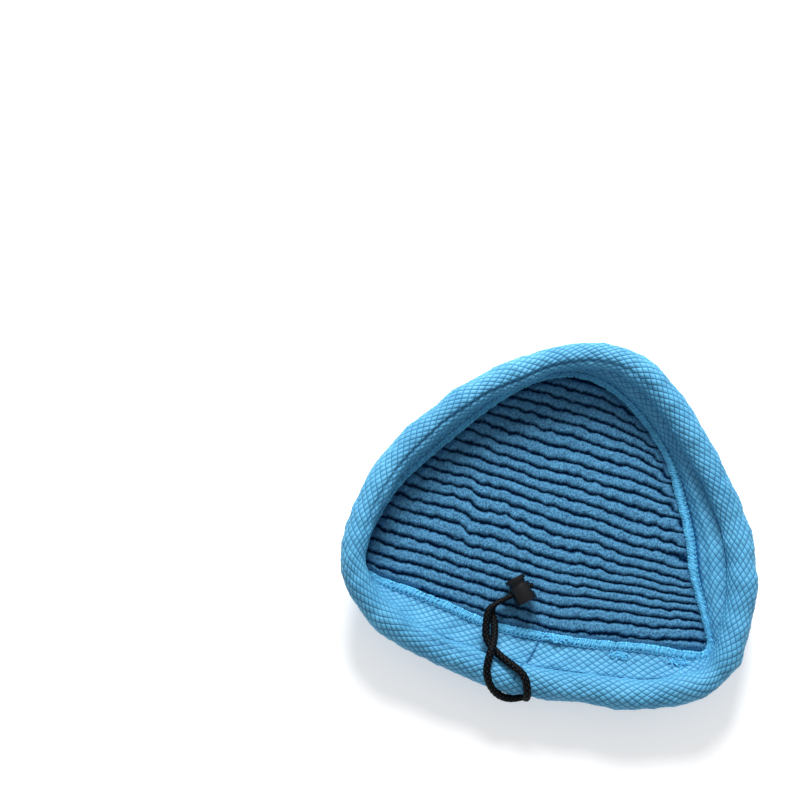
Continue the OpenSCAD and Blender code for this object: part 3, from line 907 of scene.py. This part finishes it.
# %% Backing
backing_low, backing_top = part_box("chenille_backing")[0][2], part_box("chenille_backing")[1][2]
tangent = np.roll(outline, -1, axis=0) - np.roll(outline, 1, axis=0)
outward = unit(np.stack([tangent[:, 1], -tangent[:, 0]], -1))
wider = (outline + outward * 0.9 * MM)[::3]
n_edge = len(wider)
levels = [backing_low, backing_low + 0.05 * MM, backing_top - 0.05 * MM, backing_top]
points = np.concatenate([np.column_stack([wider, np.full(n_edge, level)]) for level in levels])
j = np.arange(n_edge)
j2 = (j + 1) % n_edge
faces = [list(map(int, j[::-1])), list(map(int, j + 3 * n_edge))]
for k in range(3):
    here, above = k * n_edge, (k + 1) * n_edge
    faces += np.stack([j + here, j2 + here, j2 + above, j + above], -1).tolist()
backing = new_object("chenille_backing_knit", points, faces)
backing.data.polygons.foreach_set("use_smooth", [False] * len(backing.data.polygons))
belongs(backing, backing_knit, "backing_knit", "chenille_backing")

# %% [markdown]
# ## The chenille noodles
#
# Some five hundred short noodles hang from the backing, and the mitt lies on them. Each is a chain of
# seven beads. They start straight down, and the floor rises under them in small steps until the
# backing is where the frame has it, while each step pushes crossing beads apart and keeps the chains
# at their length. What is left is a layer of noodles bent over at odds with each other, splayed out
# past the edge where nothing holds them. The seed is fixed, so they always come out the same.

# %% Noodle chains
noodle_r, noodle_l, beads = 3.15 * MM, 23 * MM, 7
pile_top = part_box("chenille_pile")[1][2]
link = noodle_l / (beads - 1)
rng = np.random.default_rng(5)
root_x, root_y = np.meshgrid(np.arange(-130, 130, 7.7) * MM, np.arange(-90, 110, 7.5) * MM)
root_x[::2] += 3.85 * MM
roots = np.stack([root_x.ravel(), root_y.ravel()], -1)
roots += rng.normal(0, 0.6 * MM, roots.shape)
root_edge, root_to_edge = nearest(roots, outline)
roots_in = inside(roots, outline) & (root_to_edge > 2.2 * MM)
roots, root_edge, root_to_edge = roots[roots_in], root_edge[roots_in], root_to_edge[roots_in]
n_noodles = len(roots)
outer_lean = 0.7 * np.exp(-root_to_edge / (9 * MM))[:, None]
lean = rng.normal(0, 0.22, (n_noodles, 2)) + outward[root_edge] * outer_lean
down = unit(np.column_stack([lean, np.full(n_noodles, -1.0)]))
chain = np.column_stack([roots, np.full(n_noodles, pile_top)])[:, None] + down[:, None] * (
    np.arange(beads) * link)[None, :, None]
owner = np.repeat(np.arange(n_noodles), beads)
steps = 150
for step in range(steps):
    floor_z = min(0.0, -noodle_l + pile_top + step / (0.7 * steps) * (noodle_l - pile_top))
    flat_beads = chain.reshape(-1, 3)
    if step % 5 == 0:
        pairs = []
        for k in range(0, len(flat_beads), 500):
            apart = np.abs(flat_beads[k:k + 500, None] - flat_beads[None]).max(-1)
            a, b = np.nonzero(apart < 2.6 * noodle_r)
            pairs.append(np.stack([a + k, b], -1))
        pairs = np.concatenate(pairs)
        pairs = pairs[(pairs[:, 0] < pairs[:, 1]) & (owner[pairs[:, 0]] != owner[pairs[:, 1]])]
    gap = flat_beads[pairs[:, 1]] - flat_beads[pairs[:, 0]]
    size = np.maximum(np.linalg.norm(gap, axis=1), 1e-6)
    push = np.clip(1.86 * noodle_r - size, 0, None)[:, None] * gap / size[:, None] * 0.3
    np.add.at(flat_beads, pairs[:, 1], push)
    np.add.at(flat_beads, pairs[:, 0], -push)
    chain = flat_beads.reshape(n_noodles, beads, 3)
    for _ in range(3):
        for reach in (1, 2):
            a, b = chain[:, :-reach], chain[:, reach:]
            gap = b - a
            size = np.maximum(np.linalg.norm(gap, axis=2, keepdims=True), 1e-6)
            wrong = size - reach * link if reach == 1 else np.minimum(size - 1.72 * link, 0)
            move = wrong * gap / size * 0.5
            chain[:, :-reach] += move
            chain[:, reach:] -= move
        chain[:, 0, :2], chain[:, 0, 2] = roots, pile_top
        low_z = floor_z + 1.13 * noodle_r
        chain[:, 1:, 2] = np.clip(chain[:, 1:, 2], low_z, pile_top - 0.75 * noodle_r)
print(n_noodles, "noodles, lowest bead", round(float(chain[..., 2].min() * 1000), 2), "mm")

# %% Noodle tubes
ring_at = np.array([0.0, 0.55, 1.4, 2.5, 3.6, 4.7, 5.55, 5.9, 6.0])
before, after = 2 * chain[:, :1] - chain[:, 1:2], 2 * chain[:, -1:] - chain[:, -2:-1]
padded = np.concatenate([before, chain, after], axis=1)
i = np.minimum(ring_at.astype(int), beads - 2)
q = (ring_at - i)[None, :, None]
a, b, c, d = (padded[:, i + k] for k in range(4))
paths = 0.5 * (2 * b + (c - a) * q + (2 * a - 5 * b + 4 * c - d) * q**2
               + (3 * b - a - 3 * c + d) * q**3)
profile = np.array([0.75, 0.95, 1.0, 1.0, 1.0, 1.0, 0.93, 0.68, 0.35])
plump = rng.uniform(0.92, 1.08, (n_noodles, 1)) * rng.uniform(0.95, 1.05, (n_noodles, len(ring_at)))
values = {"along": ring_at * link + rng.uniform(0, 1, (n_noodles, 1)) * 1.7 * MM,
          "tone": rng.uniform(0.8, 1.0, n_noodles)}
noodles = tube_object("chenille_noodles", paths, noodle_r * profile * plump, 8, (0.7, 0.7, 0.1), values)
belongs(noodles, chenille, "chenille", "chenille_pile")

# %% [markdown]
# ## The cord lock
#
# The lock is a moulded cup with a button pushed into it against a spring. Cup and button each have an
# oval hole across them, and the spring keeps the two holes out of line, which grips the cord. Each
# part starts as a cylinder. Inset and extrude make the bore and the head, and a shared cutter, run
# through as a boolean, makes the hole. The spring keeps its frame node and gets its steel material.

# %% Lock parts
lock_middle, lock_turn = np.array([-15, -54, 27.8]) * MM, math.radians(40)
barrel_d, barrel_from, barrel_to, bore_d, bore_from = (n * MM for n in (15, -8.4, 3.8, 11.6, -7.4))
plunger_d, plunger_from, head_from, head_to, head_d = (n * MM for n in (11.4, -3.2, 6.6, 9.2, 14))
cord_hole_d = 9.2 * MM


def only(piece):
    bpy.ops.object.select_all(action="DESELECT")
    piece.select_set(True)
    bpy.context.view_layer.objects.active = piece
    return piece


def upright(name, diameter, low, high):
    """A cylinder that stands along z from low to high."""
    bpy.ops.object.select_all(action="DESELECT")
    bpy.ops.mesh.primitive_cylinder_add(vertices=72, radius=diameter / 2, depth=high - low,
                                        location=(0, 0, (low + high) / 2))
    piece = bpy.context.active_object
    piece.name = piece.data.name = name
    bpy.ops.object.transform_apply(location=True, rotation=True, scale=True)
    return piece


def reshape_top(piece, *moves):
    """Picks the top face, then for each move insets it or extrudes it along z."""
    only(piece)
    bpy.ops.object.mode_set(mode="EDIT")
    bpy.ops.mesh.select_mode(type="FACE")
    bpy.ops.mesh.select_all(action="DESELECT")
    bpy.ops.object.mode_set(mode="OBJECT")
    top = max(piece.data.polygons, key=lambda p: p.center.z + p.normal.z)
    top.select = True
    bpy.ops.object.mode_set(mode="EDIT")
    for kind, amount in moves:
        if kind == "inset":
            bpy.ops.mesh.inset(thickness=amount)
        elif kind == "widen":
            bpy.ops.transform.resize(value=(amount, amount, 1))
        else:
            bpy.ops.mesh.extrude_region_move(TRANSFORM_OT_translate={"value": (0, 0, amount)})
    bpy.ops.object.mode_set(mode="OBJECT")
    return piece


def apply_modifier(piece, kind, **settings):
    only(piece)
    modifier = piece.modifiers.new(kind.lower(), kind)
    for key, value in settings.items():
        setattr(modifier, key, value)
    bpy.ops.object.modifier_apply(modifier=modifier.name)


def cut_cord_hole(piece, low, high):
    """Cuts the oval hole from low to high along z, right through the piece along x."""
    bpy.ops.mesh.primitive_cylinder_add(vertices=64, radius=cord_hole_d / 2, depth=40 * MM,
                                        rotation=(0, math.pi / 2, 0), location=(0, 0, (low + high) / 2))
    cutter = bpy.context.active_object
    bpy.ops.mesh.primitive_cube_add(size=1, scale=(50 * MM, 20 * MM, high - low),
                                    location=(0, 0, (low + high) / 2))
    slab = bpy.context.active_object
    apply_modifier(cutter, "BOOLEAN", operation="INTERSECT", object=slab, solver="EXACT")
    apply_modifier(piece, "BOOLEAN", operation="DIFFERENCE", object=cutter, solver="EXACT")
    for spent in (cutter, slab):
        bpy.data.objects.remove(spent)


def to_lock(piece, bevel):
    """Softens the edges, turns z onto the plunger's line and moves the piece to the lock."""
    apply_modifier(piece, "BEVEL", width=bevel, segments=3, limit_method="ANGLE",
                   angle_limit=math.radians(35))
    turn = Matrix.Rotation(lock_turn, 4, "Z") @ Matrix.Rotation(-math.pi / 2, 4, "X")
    piece.data.transform(Matrix.Translation(lock_middle.tolist()) @ turn)
    piece.data.polygons.foreach_set("use_smooth", [True] * len(piece.data.polygons))
    piece.data.set_sharp_from_angle(angle=math.radians(40))
    return piece


barrel = upright("lock_barrel_shell", barrel_d, barrel_from, barrel_to)
reshape_top(barrel, ("inset", (barrel_d - bore_d) / 2), ("extrude", bore_from - barrel_to))
cut_cord_hole(barrel, -3.7 * MM, 1.9 * MM)
belongs(to_lock(barrel, 0.45 * MM), lock_plastic, "lock_plastic", "lock_barrel", body="cord_lock")

button = upright("lock_plunger_button", plunger_d, plunger_from, head_from)
reshape_top(button, ("extrude", 0.05 * MM), ("widen", head_d / plunger_d),
            ("extrude", head_to - head_from),
            ("inset", 1.6 * MM), ("extrude", -0.35 * MM))
cut_cord_hole(button, -1.9 * MM, 4.7 * MM)
belongs(to_lock(button, 0.45 * MM), lock_plastic, "lock_plastic", "lock_plunger", body="lock_plunger")

spring = bpy.data.objects["lock_spring"]
spring.data.materials.clear()
spring.data.materials.append(spring_steel)
spring_l, press_travel = plunger_from - bore_from, 2.5 * MM
0.95 * (1 - press_travel / spring_l)
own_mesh(spring)

following = np.roll(outline, -1, axis=0)
base_area = abs(np.sum(outline[:, 0] * following[:, 1] - outline[:, 1] * following[:, 0])) / 2

# %% [markdown]
# ## Floor and light
#
# The mitt lies on a plain pale floor. Even light comes from all round, and one wide lamp beyond the
# far edge gives the soft shadows their direction: it lights the near wall and leaves the lining dark
# under the far hem. The floor glows a little, so that its own shadow stays faint.

# %% Floor, world and lamp
bpy.ops.mesh.primitive_plane_add(size=6, location=(0, 0, -0.0002))
floor = bpy.context.active_object
floor.name = "floor"
floor_paint = bpy.data.materials.new("floor paint")
floor_paint.use_nodes = True
floor_shader = floor_paint.node_tree.nodes["Principled BSDF"]
floor_shader.inputs["Base Color"].default_value = (0.93, 0.93, 0.93, 1)
floor_shader.inputs["Roughness"].default_value = 0.9
floor_shader.inputs["Emission Color"].default_value = (1, 1, 1, 1)
floor_shader.inputs["Emission Strength"].default_value = 0.34
floor.data.materials.append(floor_paint)

world = bpy.data.worlds.new("world")
bpy.context.scene.world = world
world.use_nodes = True
world.node_tree.nodes["Background"].inputs["Color"].default_value = (1, 1, 1, 1)
world.node_tree.nodes["Background"].inputs["Strength"].default_value = 0.5

lamp = bpy.data.objects.new("lamp", bpy.data.lights.new("lamp", "AREA"))
lamp.data.shape, lamp.data.size, lamp.data.energy = "DISK", 0.6, 27.0
lamp.location = (-0.25, 1.0, 0.85)
lamp.rotation_mode = "QUATERNION"
from_lamp = -np.array(lamp.location)
lamp.rotation_quaternion = Vector(from_lamp.tolist()).to_track_quat("-Z", "Y")
bpy.context.collection.objects.link(lamp)

# %% [markdown]
# ## The end
#
# This brings the scene up to date.

# %% The end
bpy.context.view_layer.update()
